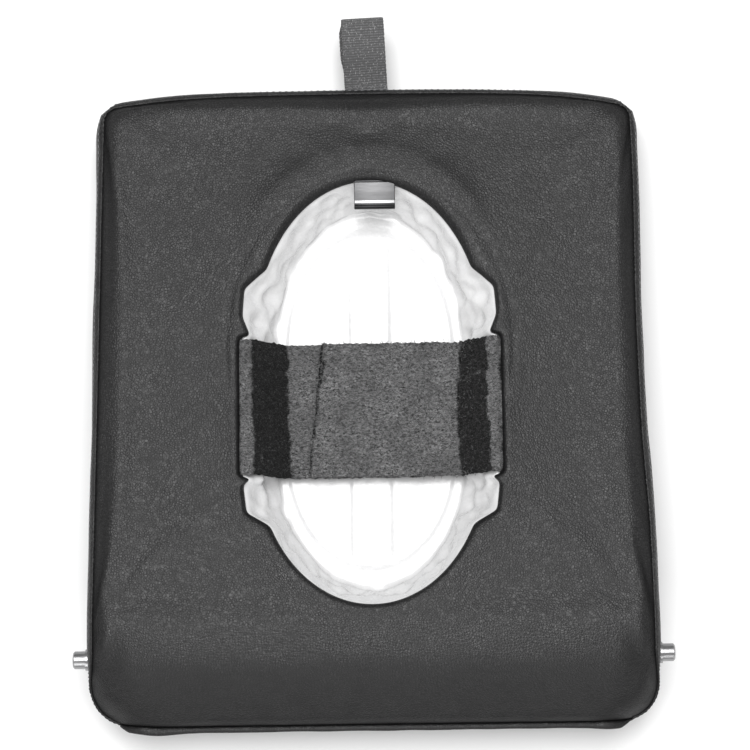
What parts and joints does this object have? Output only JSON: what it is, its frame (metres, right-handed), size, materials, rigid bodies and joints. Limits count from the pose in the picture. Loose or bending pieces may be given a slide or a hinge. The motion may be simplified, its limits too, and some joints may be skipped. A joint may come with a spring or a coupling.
{
  "type": "kick shield",
  "caption": "Wedge-shaped leatherette strike pad with a white tray recess and hand strap on its grip side, a pivot shaft through its thick end and a webbing pull loop.",
  "frame": {"origin": "centre of the footprint, pull loop included, on the plane the strike face lies on", "axes": "+X across the pad to the right seen from the grip side, +Y from the thick pivot end to the pull loop, +Z out of the grip side"},
  "size_m": [0.337, 0.404, 0.0844],
  "materials": {
    "leatherette": "satin",
    "piping": "satin",
    "foam": "matte",
    "board": "matte",
    "tray_plastic": "satin",
    "strap_felt": "matte",
    "hook_tape": "matte",
    "webbing": "matte",
    "steel": "satin",
    "zinc": "satin",
    "nylon": "satin"
  },
  "bodies": {
    "shield": {"strike_panel": "leatherette", "grip_panel": "leatherette", "left_gusset": "leatherette", "right_gusset": "leatherette", "top_gusset": "leatherette", "bottom_gusset": "leatherette", "closure_strip": "piping", "edge_piping": "piping", "strike_foam": "foam", "grip_foam": "foam", "base_roll": "foam", "back_board": "board", "tray": "tray_plastic", "tray_screws": "zinc", "tray_nuts": "zinc", "clip_root": "steel", "clip_rivets": "steel", "strap_left": "strap_felt", "strap_right_root": "strap_felt", "strap_bars": "zinc", "bar_screws": "zinc", "bearing_tube": "zinc", "left_bush": "nylon", "right_bush": "nylon", "left_bracket": "zinc", "right_bracket": "zinc", "bracket_screws": "zinc", "bracket_nuts": "zinc", "loop_root": "webbing"},
    "shaft": {"shaft": "steel", "retaining_rings": "steel"},
    "clip": {"clip_leaf": "steel"},
    "strap": {"strap_right": "strap_felt", "hook_patch": "hook_tape"},
    "loop": {"hang_loop": "webbing"}
  },
  "joints": [
    {"name": "shaft_spin", "type": "hinge", "parent": "shield", "child": "shaft", "pos_m": [0, -0.16, 0.042], "axis": [1, 0, 0], "continuous": true},
    {"name": "clip_flex", "type": "hinge", "parent": "shield", "child": "clip", "pos_m": [0.0038, 0.1057, 0.05964], "axis": [1, 0, 0], "range_deg": [0, 8], "stiffness_Nm_per_rad": 0.6},
    {"name": "strap_open", "type": "hinge", "parent": "shield", "child": "strap", "pos_m": [0.0722, -0.02069, 0.0711], "axis": [0, 0.9955, -0.095], "range_deg": [0, 130]},
    {"name": "loop_flex", "type": "hinge", "parent": "shield", "child": "loop", "pos_m": [-0.00029, 0.16799, 0.03], "axis": [0.999, 0.0454, 0], "range_deg": [-40, 90], "stiffness_Nm_per_rad": 0.03}
  ]
}
